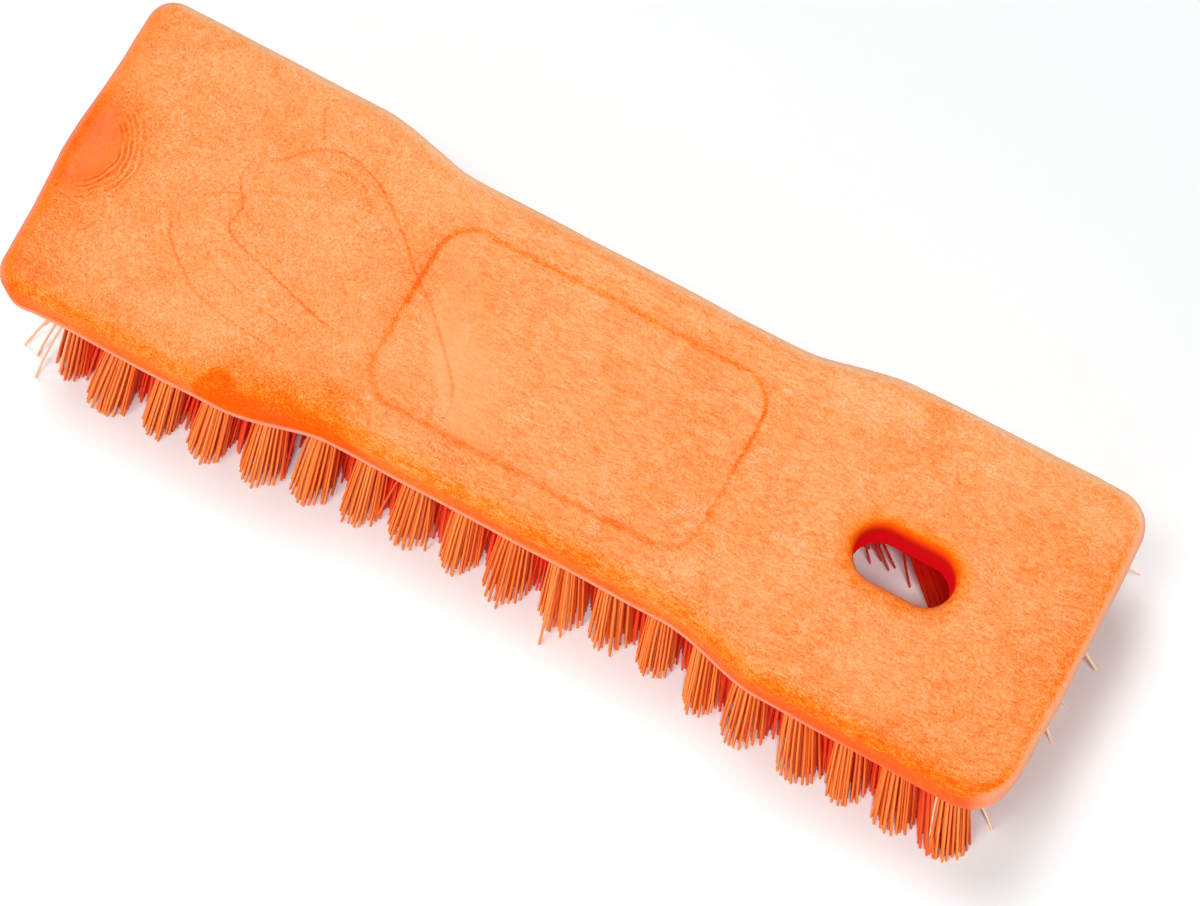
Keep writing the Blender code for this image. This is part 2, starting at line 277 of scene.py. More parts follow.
# Painted shade and light down the block's sides, deeper orange in front and paler at the right and far side,
# and painted pink reflections: (side, how much, share of the thickness where it starts, where it is full)
NEAR_PAINTED_SHADE = (("near", 0.35, 0.0, 0.09), ("near", 0.5, 0.15, 0.5))
NEAR_RIGHT_PAINTED_SHADE = (("near", 0.3, 0.0, 0.09), ("near", 0.35, 0.15, 0.5))
SIDE_PAINTED_SHADING = (("right", 0.25, 0.0, 0.03), ("right", -1.9, 0.035, 0.15), ("far", -1.4, 0.0, 0.09))
SIDE_REFLECTIONS = (("right", 0.7, 0.07, 0.15), ("right", 0.2, 0.15, 0.25), ("left", 0.6, 0.04, 0.1),
              ("left", 0.35, 0.1, 0.2), ("far", 0.3, 0.1, 0.2))
# Painted light: how much paler the far side is
FAR_PAINTED_LIGHT = 0.1
# Places between which the near side's painted shade deepens to the right and is plainer to the left, and
# where it loses its painted rim reflection
RIGHT_DEEPER, LEFT_PLAINER, RIM_FADE = (30 * MM, 70 * MM), (-76 * MM, -90 * MM), (45 * MM, 85 * MM)
# Heights over the underside between which the painted pink reflection on the bottom rim sets in, and how much
# of it goes at the right
RIM_EDGE, RIM_LOSS = (RIM_HEIGHT + 0.5 * MM, RIM_HEIGHT - 0.3 * MM), 0.85
# How much less painted shade the near side has at the left, and how much of the grain the left end loses
LEFT_LOSS, LEFT_GRAIN_LOSS = 0.5, 0.5
# How much less painted shade a place gets that is deep already
DEEP_ALREADY = 0.6
# The sides' gloss, and the shares of the thickness between which it follows the top's
SIDE_SHINE, SHINE_DOWN = 0.2, (0.1, 0.0)
# How squarely a place faces a side where that side's look starts and is full, and so for its swell
SIDE_FACING, SWELL_FACING = (0.2, 0.8), (0.1, 0.9)
# Tones between which the plastic turns to the hole's painted red shade, which glows
HOLLOW_START, HOLLOW_FULL = 1.45, 1.95
UNDERSIDE_TONE, UNDERSIDE_GRAIN = 0.6, 0.3
SOCKET_TONE = 1.2

# The smooth, deep patch along the near edge at the left of the waist: a core and a haze
WET_SLANT = 0.71
WET_START_X, WET_START_Y = -54.6 * MM, -25.8 * MM
WET_CORE = (("slant", -1.2, 0), ("x", -24, -34))
WET_HAZE = (("slant", -2.4, 0.6), ("x", -22, -38), ("near", 10, 4))
WET_WIDTH, WET_MORE_WIDTH, WET_EDGE = 1.4 * MM, 3 * MM, 0.9 * MM
WET_WIDER = (("x", -49, -54),)
WET_TONE, HAZE_TONE, WET_WALL_TONE, WET_WALL_DOWN = 0.55, 0.4, 0.3, (0.15, 0.5)
WET_DULLING = 0.85
# The smooth pale tongue in the panel, right of its last flow line: the line that it lies beyond and its reach
PALE_START_X, PALE_START_Y, PALE_SLANT = -15.5 * MM, -16 * MM, 0.85
PALE_REACH, PALE_SIDE = (13 * MM, 1 * MM), (-33 * MM, -22 * MM)
PALE_TONE = 0.22
# How much of the grain goes missing in the pale tongue, at the gate, in the wet patch and beyond the hole
PALE_LOSS, GATE_LOSS, WET_LOSS, HOLE_LOSS = 0.6, 0.75, 0.5, 0.3
# Distances from the gate and from the hole's wall at which the grain starts to go and is least
GATE_CALM, HOLE_CALM = (GATE_DISC + 3 * MM, GATE_DISC - 4 * MM), (4.2 * MM, 2.7 * MM)
# The top face's palest and deepest tone
TOP_TONES = (-1, 1.6)


def smooth(low, high, value):
    """0 below low, 1 above high and a smooth rise between."""
    share = np.clip((value - low) / (high - low), 0.0, 1.0)
    return share * share * (3.0 - 2.0 * share)


def direction(angle):
    """The plan direction at an angle, or at each of several."""
    return np.stack([np.cos(angle), np.sin(angle)], -1)


def side_half_width(x):
    """Half the block's width at x along its sides, which draw in at the waist."""
    rise = smooth(0.0, 1.0, (np.abs(x) - WAIST_HALF_LENGTH) / WAIST_RUN)
    return HALF_WIDTH - WAIST_DEPTH * (1.0 - rise)


def half_width(x):
    """Half the width at x of the block's plan outline, with its round corners."""
    past_corner = abs(x) - (HALF_LENGTH - CORNER_RADIUS)
    width = float(side_half_width(x))
    if past_corner <= 0.0:
        return width
    return width - CORNER_RADIUS + math.sqrt(max(CORNER_RADIUS ** 2 - past_corner ** 2, 0.0))


def corner_arc(side_x, side_y, radius):
    """Points of one round corner of the plan, anticlockwise, without its two ends."""
    start = math.atan2(side_y, side_x) - 0.25 * math.pi
    turn = start + np.linspace(0.0, 0.5 * math.pi, int(0.5 * math.pi * radius / OUTLINE_STEP) + 2)[1:-1]
    centre = np.array((side_x * (HALF_LENGTH - radius), side_y * (HALF_WIDTH - radius)))
    return centre + radius * direction(turn)


def plan_outline():
    """Points of the block's plan outline, anticlockwise, and the outward normal at each."""
    def places(start, end):
        return np.linspace(start, end, int(abs(end - start) / OUTLINE_STEP))

    near = places(NEAR_LEFT_RADIUS - HALF_LENGTH, HALF_LENGTH - NEAR_RIGHT_RADIUS)
    right = places(NEAR_RIGHT_RADIUS - HALF_WIDTH, HALF_WIDTH - FAR_RIGHT_RADIUS)
    far = places(HALF_LENGTH - FAR_RIGHT_RADIUS, FAR_LEFT_RADIUS - HALF_LENGTH)
    left = places(HALF_WIDTH - FAR_LEFT_RADIUS, NEAR_LEFT_RADIUS - HALF_WIDTH)
    points = np.concatenate([
        np.stack([near, -side_half_width(near)], 1), corner_arc(1, -1, NEAR_RIGHT_RADIUS),
        np.stack([np.full_like(right, HALF_LENGTH), right], 1), corner_arc(1, 1, FAR_RIGHT_RADIUS),
        np.stack([far, side_half_width(far)], 1), corner_arc(-1, 1, FAR_LEFT_RADIUS),
        np.stack([np.full_like(left, -HALF_LENGTH), left], 1), corner_arc(-1, -1, NEAR_LEFT_RADIUS)])
    along = np.roll(points, -1, 0) - np.roll(points, 1, 0)
    along /= np.linalg.norm(along, axis=1)[:, None]
    return points, np.stack([along[:, 1], -along[:, 0]], 1)


def hole_ring(wider):
    """The hanging hole's outline, made wider, as evenly spaced points, anticlockwise."""
    radius = HOLE_WIDTH / 2 + wider
    reach = (HOLE_LENGTH - HOLE_WIDTH) / 2
    run = (4 * reach + 2 * math.pi * radius) * np.arange(SLOT_POINTS // 2) / SLOT_POINTS
    half = radius * direction(np.minimum(run / radius, math.pi) - 0.5 * math.pi)
    half[:, 0] += reach - np.maximum(run - math.pi * radius, 0.0)
    return np.concatenate([half, -half]) + (HOLE_X, 0.0)


def hole_distance(points):
    """How far points lie outside the hanging hole's walls."""
    dx = np.abs(points[:, 0] - HOLE_X) - (HOLE_LENGTH - HOLE_WIDTH) / 2
    return np.hypot(np.maximum(dx, 0.0), points[:, 1]) - HOLE_WIDTH / 2


def panel_distance(points):
    """How far points lie outside the sunk panel's edge."""
    dx = np.abs(points[:, 0]) - (PANEL_LENGTH / 2 - PANEL_CORNER)
    dy = np.abs(points[:, 1]) - (PANEL_WIDTH / 2 - PANEL_CORNER)
    outside = np.hypot(np.maximum(dx, 0.0), np.maximum(dy, 0.0))
    return outside + np.minimum(np.maximum(dx, dy), 0.0) - PANEL_CORNER


def smooth_curve(points, steps=6):
    """A curve through points by Catmull and Rom's rule."""
    p = np.array(points, float)
    p = np.concatenate([[2 * p[0] - p[1]], p, [2 * p[-1] - p[-2]]])
    t = np.arange(steps)[:, None] / steps
    runs = []
    for a, b, c, d in zip(p, p[1:], p[2:], p[3:]):
        runs.append(0.5 * (2 * b + (c - a) * t + (2 * a - 5 * b + 4 * c - d) * t ** 2
                           + (3 * b - a - 3 * c + d) * t ** 3))
    return np.concatenate(runs + [p[-2][None]])


def curve_distance(points, curve):
    """Distance from each point to a curve, and how far along the curve its nearest place lies, 0 to 1."""
    nearest = np.full(len(points), 1e9)
    place = np.zeros(len(points))
    for i, (a, b) in enumerate(zip(curve, curve[1:])):
        run = b - a
        share = np.clip(((points - a) @ run) / (run @ run), 0.0, 1.0)
        gap = np.linalg.norm(points - a - share[:, None] * run, axis=1)
        closer = gap < nearest
        nearest[closer] = gap[closer]
        place[closer] = (i + share[closer]) / (len(curve) - 1)
    return nearest, place


def noise_at(points, scale, seed):
    """Smooth noise from -1 to 1 at plan points."""
    return np.array([noise.noise((x * scale, y * scale, seed)) for x, y in points])


flow_curves = [(strength, smooth_curve(points) * MM) for strength, points in FLOW_MARKS]


def surface_marks(points):
    """Relief of the top face at plan points, with the flow lines and the distances to panel edge and gate."""
    height = sum(high * MM * noise_at(points, scale, seed) for high, scale, seed in TOP_WAVES)
    lines = np.zeros(len(points))
    for strength, curve in flow_curves:
        gap, place = curve_distance(points, curve)
        fade = strength * smooth(0.0, FLOW_FADE, place) * smooth(1.0, 1.0 - FLOW_FADE, place)
        lines = np.maximum(lines, fade * np.exp(-(gap / FLOW_WIDTH) ** 2))
    height -= FLOW_DEPTH * lines
    away = np.hypot(points[:, 0] - GATE_X, points[:, 1] - GATE_Y)
    height -= GATE_SINK * smooth(GATE_DISC, GATE_FLOOR, away)
    edge = panel_distance(points) + PANEL_WAVER * noise_at(points, *PANEL_WAVER_NOISE)
    across = points[:, 1] / (PANEL_WIDTH / 2) + PANEL_SLANT * points[:, 0] / PANEL_LENGTH
    slope = PANEL_STEP * (1.0 + smooth(*PANEL_NEAR, across))
    height -= PANEL_DEPTH * smooth(slope, -slope, edge)
    return height, lines, edge, away


def far_of_hole(points):
    """1 beyond the hanging hole and round its left end, where its wall has a painted red shade that glows,
    and 0 in front of it.
    """
    return smooth(-FAR_BLEND, FAR_BLEND, points[:, 1] + FAR_SLANT * (HOLE_X - points[:, 0]))


def measures_at(x, y):
    """The measures that patches are told by, at places in plan."""
    half = side_half_width(x)
    return {"x": x, "y": y, "near": half + y, "far": half - y, "gate": np.hypot(x - GATE_X, y - GATE_Y),
            "slant": x - WET_START_X - WET_SLANT * (y - WET_START_Y)}


def share_within(limits, measures):
    """1 where every measure is full, 0 where one hasn't started."""
    return np.prod([smooth(start * MM, full * MM, measures[name]) for name, start, full in limits], axis=0)


def wet_share(x, y):
    """How much a place lies in the wet patch at the near edge: in its core and in the haze round it."""
    measures = measures_at(x, y)
    width = WET_WIDTH + WET_MORE_WIDTH * share_within(WET_WIDER, measures)
    core = share_within(WET_CORE, measures) * smooth(width + WET_EDGE, width - WET_EDGE, measures["near"])
    return core, share_within(WET_HAZE, measures)


def patch_tone(patches, x, y):
    """The patches' tones together, at places in plan."""
    measures = measures_at(x, y)
    return sum(deeper * share_within(limits, measures) for deeper, *limits in patches)


def plan_tone(x, y):
    """The tone by place in plan: deepest at the left end and along the near edge, where part of it is painted
    shade.
    """
    core, haze = wet_share(x, y)
    return patch_tone(PLAN_PATCHES, x, y) + WET_TONE * core + HAZE_TONE * haze


def top_gloss(x, y):
    """How glossy the top and its rounded edge are, least in the wet patch."""
    return 1.0 - WET_DULLING * np.maximum(*wet_share(x, y))


def surface_tone(points, lines, edge, away):
    """The top face's tone, with painted shade along the panel's step and round the hanging hole, and how much
    of the grain it shows.
    """
    x, y = points[:, 0], points[:, 1]
    tone_and_shade = plan_tone(x, y) + patch_tone(TOP_PATCHES, x, y) + FLOW_TONE * lines
    # Painted shade along the panel's step, weaker on its near side
    side = np.where(y > 0, 1.0, NEAR_PANEL_SHARE)
    for deeper, middle, spread in PANEL_EDGE_SHADE:
        tone_and_shade += deeper * side * np.exp(-((edge - middle * MM) / (spread * MM)) ** 2)
    # Painted shade round the hanging hole
    hole = hole_distance(points)
    far = far_of_hole(points)
    for share, (deeper, start, full) in ((far, FAR_HOLE_SHADE), (1 - far, NEAR_HOLE_SHADE)):
        tone_and_shade += deeper * share * smooth(start * MM, full * MM, hole)
    gap, _ = curve_distance(points, smooth_curve(TONGUE[7:]) * MM)
    beyond = (x - PALE_START_X) + PALE_SLANT * (y - PALE_START_Y) > 0
    pale = smooth(*PALE_REACH, gap) * beyond * (edge < 0) * smooth(*PALE_SIDE, x)
    tone_and_shade -= PALE_TONE * pale
    gate = smooth(*GATE_CALM, away)
    grain = 1.0 - PALE_LOSS * pale - GATE_LOSS * gate - WET_LOSS * wet_share(x, y)[0]
    grain *= 1.0 - HOLE_LOSS * far * smooth(*HOLE_CALM, hole)
    return np.clip(tone_and_shade, *TOP_TONES), np.clip(grain, 0, 1)


Tuft = namedtuple("Tuft", "x y share column lane")


# What the block's mesh tells its material at every vertex
SHELL_MARKS = ("tone_and_shade", "grain", "rim_reflection", "gloss")


class Shell:
    """Collects rings and patches of vertices and faces, and makes one mesh of them."""

    def __init__(self):
        self.points, self.marks, self.faces, self.count = [], [], [], 0

    def add(self, points, z, tone_and_shade, grain, rim_reflection=0.0, gloss=0.0):
        """Vertices at plan points and height z, with their marks. Gives their numbers."""
        n = len(points)
        self.points.append(np.column_stack([points, np.broadcast_to(z, n)]))
        self.marks.append(np.stack([np.broadcast_to(v, n) for v in (tone_and_shade, grain, rim_reflection, gloss)], 1))
        self.count += n
        return np.arange(self.count - n, self.count)

    def wall(self, ring, following, inside=False):
        """Quads from an anticlockwise ring to the following one, facing out or inwards. Gives the latter."""
        low, high = (ring, following) if inside else (following, ring)
        self.faces += np.stack([low, np.roll(low, -1), np.roll(high, -1), high], 1).tolist()
        return following

    def build(self, name, material):
        piece = plain_piece(name, np.concatenate(self.points).tolist(), self.faces, material)
        for mark, values in zip(SHELL_MARKS, np.concatenate(self.marks).T):
            add_mark(piece.data, mark, values)
        piece.data.shade_smooth()
        return piece


def add_mark(mesh, name, values):
    mark = mesh.attributes.new(name, "FLOAT", "POINT")
    mark.data.foreach_set("value", values.astype(np.float32))


def place_piece(name, data):
    piece = bpy.data.objects.new(name, data)
    bpy.context.scene.collection.objects.link(piece)
    return piece


def plain_piece(name, points, faces, material):
    mesh = bpy.data.meshes.new(name)
    mesh.from_pydata(points, [], faces)
    mesh.materials.append(material)
    return place_piece(name, mesh)


def stepped_grid(step, shift=0.0):
    """Points over the block's plan, in rows a step apart, every other row moved half a step along."""
    rows = []
    for k, y in enumerate(np.arange(-HALF_WIDTH, HALF_WIDTH, step * ROW_SHARE)):
        xs = np.arange(-HALF_LENGTH + (k % 2) * step / 2 + shift, HALF_LENGTH, step)
        rows.append(np.stack([xs, np.full_like(xs, y)], 1))
    return np.concatenate(rows)


def fill_between(rings, inner):
    """Triangles that fill the first ring, leave the others open and use the inner points.

    Gives the vertices, the triangles and each ring's vertex numbers.
    """
    points = np.concatenate(rings + [inner])
    ends = np.cumsum([len(ring) for ring in rings])
    numbers = [np.arange(end - len(ring), end) for ring, end in zip(rings, ends)]
    edges = np.concatenate([np.stack([ring, np.roll(ring, -1)], 1) for ring in numbers]).tolist()
    placed, _, faces, origin, _, _ = delaunay_2d_cdt([Vector(p) for p in points], edges, [], 1, 1e-8)
    new_of = np.empty(len(points), int)
    ring_of = np.zeros(len(placed), int)
    for new, olds in enumerate(origin):
        new_of[olds] = new
        ring_of[new] = np.searchsorted(ends, olds[-1], "right") if olds else 0
    faces = np.array(faces)
    ring_of = ring_of[faces]
    in_hole = (ring_of[:, 0] > 0) & (ring_of[:, 0] < len(rings)) & (np.ptp(ring_of, axis=1) == 0)
    return np.array([tuple(p) for p in placed]), faces[~in_hole], [new_of[ring] for ring in numbers]


def inset_of(points, outline, normals):
    """How far inside the outline each point lies, by its nearest outline point."""
    depths = []
    for batch in np.array_split(points, len(points) // INSET_BATCH + 1):
        gaps = batch[:, None] - outline
        nearest = np.argmin((gaps ** 2).sum(2), 1)
        depths.append(-(gaps[np.arange(len(batch)), nearest] * normals[nearest]).sum(1))
    return np.concatenate(depths)


def wall_profile(top_radius, low_radius, edge_steps, wall_steps):
    """Heights and setbacks down a wall of the block, from its rounded top edge to the underside."""
    low, high = UNDERSIDE + low_radius, TOP - top_radius
    profile = []
    for i in range(1, edge_steps + 1):
        angle = 0.5 * math.pi * i / edge_steps
        profile.append((TOP - top_radius * (1 - math.cos(angle)), top_radius * (1 - math.sin(angle))))
    profile += [(high + (low - high) * i / wall_steps, 0.0) for i in range(1, wall_steps)]
    for i in range(LOW_EDGE_STEPS + 1):
        angle = 0.5 * math.pi * i / LOW_EDGE_STEPS
        profile.append((low - low_radius * math.sin(angle), low_radius * (1 - math.cos(angle))))
    return profile


def side_swell(outline, normals):
    """How far the moulding's sides lie outside the plain outline."""
    swell = np.zeros(len(outline))
    for shape, axis, facing in ((LEFT_END_SHAPE, 1, -normals[:, 0]), (RIGHT_END_SHAPE, 1, normals[:, 0]),
                                (FAR_SHAPE, 0, normals[:, 1]), (NEAR_SHAPE, 0, -normals[:, 1])):
        at, swells = np.array(shape).T * MM
        swell += smooth(*SWELL_FACING, facing) * np.interp(outline[:, axis], at, swells)
    return swell


def top_points(outline, normals):
    """Points inside the top face, finer near the marks, and clear of its edge and of the hole's."""
    coarse, fine = stepped_grid(COARSE_GRID), stepped_grid(FINE_GRID, 0.13 * FINE_GRID)
    points = np.concatenate([coarse[~near_feature(coarse)], fine[near_feature(fine)]])
    points = points[inset_of(points, outline, normals) > TOP_EDGE_RADIUS + CLEAR_OF_EDGE]
    return points[hole_distance(points) > HOLE_TOP_RADIUS + CLEAR_OF_EDGE]


def make_block(material):
    """The moulded block: its top face with all marks, rounded edges, hanging hole and tuft sockets."""
    shell = Shell()
    outline, normals = plan_outline()
    edge_rings = [outline - normals * TOP_EDGE_RADIUS, hole_ring(HOLE_TOP_RADIUS)]
    placed, faces, rings = fill_between(edge_rings, top_points(outline, normals))
    height, lines, edge, away = surface_marks(placed)
    border = np.minimum(inset_of(placed, outline, normals) - TOP_EDGE_RADIUS,
                        hole_distance(placed) - HOLE_TOP_RADIUS)
    height *= smooth(*RELIEF_RISE, border) * (1.0 - LEAST_RELIEF) + LEAST_RELIEF
    tone_and_shade, grain = surface_tone(placed, lines, edge, away)
    top = shell.add(placed, TOP + height, tone_and_shade, grain, gloss=top_gloss(placed[:, 0], placed[:, 1]))
    shell.faces += top[faces].tolist()
    ring = top[rings[0]]
    waver = SIDE_WAVER * noise_at(outline, *SIDE_WAVER_NOISE)
    swell = side_swell(outline, normals)
    for z, setback in wall_profile(TOP_EDGE_RADIUS, BOTTOM_EDGE_RADIUS, EDGE_STEPS, WALL_STEPS):
        shift = swell + waver * smooth(TOP, TOP - TOP_EDGE_RADIUS, z) - setback
        at = outline + normals * shift[:, None]
        ring = shell.wall(ring, shell.add(at, z, *side_marks(at, normals, z)))
    make_underside(shell, ring, make_hole_wall(shell, top[rings[1]]))
    return shell.build("moulded_block", material)


def side_marks(points, normals, z):
    """Tone with painted shade and light, grain, painted rim reflection and gloss of the rounded edges and
    sides: painted deep orange in front, painted pale behind.
    """
    x, y = points[:, 0], points[:, 1]
    down = (TOP - z) / (TOP - UNDERSIDE)
    turned = {"near": -normals[:, 1], "far": normals[:, 1], "left": -normals[:, 0], "right": normals[:, 0]}
    sides = {side: smooth(*SIDE_FACING, value) for side, value in turned.items()}

    def changes(table):
        return sum(much * sides[side] * smooth(start, full, down) for side, much, start, full in table)

    core, _ = wet_share(x, y)
    tone_and_shade = plan_tone(x, y)
    # Painted shade in front, deeper to the right, and painted light at the right and far side
    deeper = changes(NEAR_PAINTED_SHADE) + smooth(*RIGHT_DEEPER, x) * changes(NEAR_RIGHT_PAINTED_SHADE)
    tone_and_shade += deeper * (1 - DEEP_ALREADY * tone_and_shade) * (1 - LEFT_LOSS * smooth(*LEFT_PLAINER, x))
    tone_and_shade += WET_WALL_TONE * core * smooth(*WET_WALL_DOWN, down)
    tone_and_shade += changes(SIDE_PAINTED_SHADING) - FAR_PAINTED_LIGHT * sides["far"]
    # Painted reflection: a pink line along the bottom rim, and pink on the shoulders at the right, left and
    # far side
    rim_reflection = smooth(*RIM_EDGE, z - UNDERSIDE) * (1 - RIM_LOSS * smooth(*RIM_FADE, x))
    rim_reflection = np.maximum(rim_reflection, changes(SIDE_REFLECTIONS))
    gloss = np.maximum(smooth(*SHINE_DOWN, down) * top_gloss(x, y), SIDE_SHINE * (1 - core))
    return np.minimum(tone_and_shade, HOLLOW_START), 1.0 - LEFT_GRAIN_LOSS * sides["left"], rim_reflection, gloss


def near_feature(points):
    """True where a point lies so near a mark that the mesh is finer there."""
    near = np.abs(panel_distance(points)) < PANEL_EDGE_REACH
    for _, curve in flow_curves:
        low, high = curve.min(0) - FEATURE_REACH, curve.max(0) + FEATURE_REACH
        inside = np.all((points > low) & (points < high), 1)
        gap, _ = curve_distance(points[inside], curve)
        near[np.flatnonzero(inside)[gap < FEATURE_REACH]] = True
    return near


def make_hole_wall(shell, ring):
    """The hanging hole's wall, from its ring on the top face down. Gives its ring on the underside."""
    for z, wider in wall_profile(HOLE_TOP_RADIUS, HOLE_BOTTOM_RADIUS, HOLE_EDGE_STEPS, HOLE_WALL_STEPS):
        slot = hole_ring(wider)
        down = (TOP - z) / (TOP - UNDERSIDE)
        far = far_of_hole(slot)
        near = 1 - far
        # Painted shade: a glowing red down the far side, a deeper orange down the near side
        near_shade = NEAR_HOLE_TONE + NEAR_HOLE_DEEPER * smooth(*NEAR_HOLE_DOWN, down)
        tone_and_shade = far * np.interp(down, *np.transpose(HOLE_GLOW)) + near * near_shade
        grain = far * FAR_HOLE_GRAIN * smooth(*FAR_GRAIN_DOWN, down) + near * smooth(*NEAR_GRAIN_DOWN, down)
        ring = shell.wall(ring, shell.add(slot, z, tone_and_shade, grain), inside=True)
    return ring


def make_underside(shell, outer_ring, hole_edge):
    """The flat underside, and the tilted blind sockets that the tufts sit in."""
    points = np.concatenate(shell.points)[:, :2]
    tufts = all_tufts()
    circle = direction(2 * math.pi * np.arange(SOCKET_SIDES) / SOCKET_SIDES)
    centres = np.array([(tuft.x, tuft.y) for tuft in tufts])
    mouths = [centre + circle * (SOCKET_RADIUS + SOCKET_MOUTH) for centre in centres]
    inner = stepped_grid(UNDERSIDE_GRID)
    gaps = np.linalg.norm(inner[:, None] - centres[None], axis=2).min(1)
    inner = inner[(gaps > SOCKET_RADIUS + CLEAR_OF_SOCKET) & (hole_distance(inner) > CLEAR_OF_HOLE)
                  & (inset_of(inner, *plan_outline()) > CLEAR_OF_SIDE)]
    placed, faces, rings = fill_between([points[outer_ring], points[hole_edge]] + mouths, inner)
    flat = np.full(len(placed), -1)
    flat[rings[0]], flat[rings[1]] = outer_ring, hole_edge
    fresh = flat < 0
    flat[fresh] = shell.add(placed[fresh], UNDERSIDE, UNDERSIDE_TONE, UNDERSIDE_GRAIN)
    shell.faces += flat[faces][:, ::-1].tolist()
    for tuft, centre, mouth in zip(tufts, centres, rings[2:]):
        slope = tuft_lean(tuft) / BRISTLE_LENGTH
        ring = flat[mouth]
        for depth, radius in SOCKET_PROFILE:
            at = centre - slope * depth + circle * radius
            ring = shell.wall(ring, shell.add(at, UNDERSIDE + depth, SOCKET_TONE, 0.0))
        shell.faces.append(ring[::-1].tolist())


def all_tufts():
    return [tuft for column in range(COLUMNS) for tuft in tuft_roots(column)]


def column_x(column):
    return FIRST_COLUMN + column * TUFT_PITCH


def meets_hole(column):
    start = column_x(column) - TUFT_PITCH / 4
    return start < HOLE_X + LAND_HALF_LENGTH and start + TUFT_PITCH > HOLE_X - LAND_HALF_LENGTH


def lane_share(x, lane):
    """How far out a lane lies at x, from 0 in the middle to 1 for the outermost. The outer two lie close."""
    if abs(lane) == LANES_PER_SIDE:
        return math.copysign(1.0, lane)
    outer = half_width(x) - OUTER_LANE_INSET
    return (1.0 - EDGE_LANE_GAP / outer) * lane / (LANES_PER_SIDE - 1)


def tuft_roots(column):
    """The tufts of a column, with their root centres as the model sets them."""
    roots = []
    for lane in range(-LANES_PER_SIDE, LANES_PER_SIDE + 1):
        shifted = (lane + LANES_PER_SIDE) % 2 == 1
        if (shifted and column == COLUMNS - 1) or (lane == 0 and meets_hole(column)):
            continue
        x = column_x(column) + (TUFT_PITCH / 2 if shifted else 0.0)
        share = lane_share(x, lane)
        y = (half_width(x) - OUTER_LANE_INSET) * share
        if meets_hole(column):
            y = math.copysign(max(abs(y), LAND_HALF_WIDTH + FIT_GAP + ROOT_REACH), lane)
        roots.append(Tuft(x, y, share, column, lane))
    return roots


def tuft_lean(tuft):
    """How far a tuft's tip is set from its root along X and Y."""
    return np.array((math.tan(END_FLARE * tuft.x / HALF_FIELD) * BRISTLE_LENGTH,
                     math.tan(SIDE_FLARE * tuft.share) * BRISTLE_LENGTH))


def filament_places():
    """Where the filaments of half a tuft stand in its socket: (along the wire, away from it)."""
    places = []
    for layer in range(LAYERS):
        away = FILAMENT_SPACING / 2 + layer * LAYER_SPACING
        reach = math.sqrt((SOCKET_RADIUS - FILAMENT_RADIUS) ** 2 - away ** 2)
        count = int(2 * reach / FILAMENT_SPACING + 1e-6) + 1
        places += [((i - (count - 1) / 2) * FILAMENT_SPACING, away) for i in range(count)]
    return np.array(places)


def held_in(across):
    """Places across the block, drawn in where they reach out past the free splay."""
    over = np.maximum(np.abs(across) - FREE_SPLAY, 0.0)
    return np.sign(across) * (np.abs(across) - over + MORE_SPLAY * (1.0 - np.exp(-over / MORE_SPLAY)))


def filament_paths(tuft, rng):
    """One tuft's folded filaments, from one tip over the wire to the other.

    Gives the centre lines, the way the wire lies, how deep the filaments stand, which sets their painted
    shade, and their tints.
    """
    key = (tuft.column, tuft.lane)
    places = filament_places()[:THIN_TUFTS.get(key)]
    n = len(places)
    along = direction(WIRE_TURN + rng.normal(0.0, TURN_JITTER))
    across = np.array((-along[1], along[0]))
    slope = tuft_lean(tuft) / BRISTLE_LENGTH
    lean = tuft_lean(tuft) + rng.normal(0.0, LEAN_JITTER, 2) + np.array(EXTRA_LEANS.get(key, (0.0, 0.0))) * MM
    root = np.array((tuft.x, tuft.y))
    fan = NARROW_TUFTS.get(key, TIP_FAN * rng.uniform(1.0 - FAN_JITTER, 1.0 + FAN_JITTER))
    spray = THIN_JITTER if key in THIN_TUFTS else TIP_JITTER
    trim = rng.normal(0.0, TRIM_JITTER)
    tints = rng.random(n)
    sprung = np.array(SPRUNG_TIPS.get(key, ())).reshape(-1, 3) * MM
    halves = []
    for side in (1, -1):
        offset = places[:, :1] * along + side * places[:, 1:] * across
        jitter = rng.normal(0.0, spray, (n, 2))
        stray = rng.random(n) < STRAY_SHARE
        jitter[stray] += rng.normal(0.0, STRAY_JITTER, (int(stray.sum()), 2))
        bend = rng.normal(0.0, BEND_JITTER, (n, 2))
        cut = np.clip(rng.exponential(MEAN_TIP_CUT, n) + trim, 0.0, MOST_TIP_CUT)
        reach = lean + offset * (fan - 1.0) + jitter
        if side > 0:
            reach[:len(sprung)] = sprung[:, :2] - root - offset[:len(sprung)]
            cut[:len(sprung)] = sprung[:, 2]
        shaft = []
        for down in SHAFT_PLACES:
            spread = lean * down + (reach - lean) * down ** FAN_POWER
            at = root + offset + spread + bend * math.sin(math.pi * down)
            at[:, 1] = held_in(at[:, 1])
            shaft.append(np.column_stack([at, UNDERSIDE - (UNDERSIDE - cut) * down]))
        halves.append((offset, shaft))
    if tuft.column in SPRUNG_TINTS:
        tints[:len(sprung)] = SPRUNG_TINTS[tuft.column]
    folds = []
    for i in range(FOLD_PLACES):
        angle = math.pi * i / (FOLD_PLACES - 1)
        swing = places[:, :1] * along + math.cos(angle) * places[:, 1:] * across
        depth = FOLD_DEPTH + math.sin(angle) * places[:, 1]
        folds.append(np.column_stack([root + swing - slope * depth[:, None], UNDERSIDE + depth]))
    path = halves[0][1] + folds + halves[1][1][::-1]
    return np.stack(path, 1), along, painted_shade_depth(tuft, [half[0] for half in halves]), tints


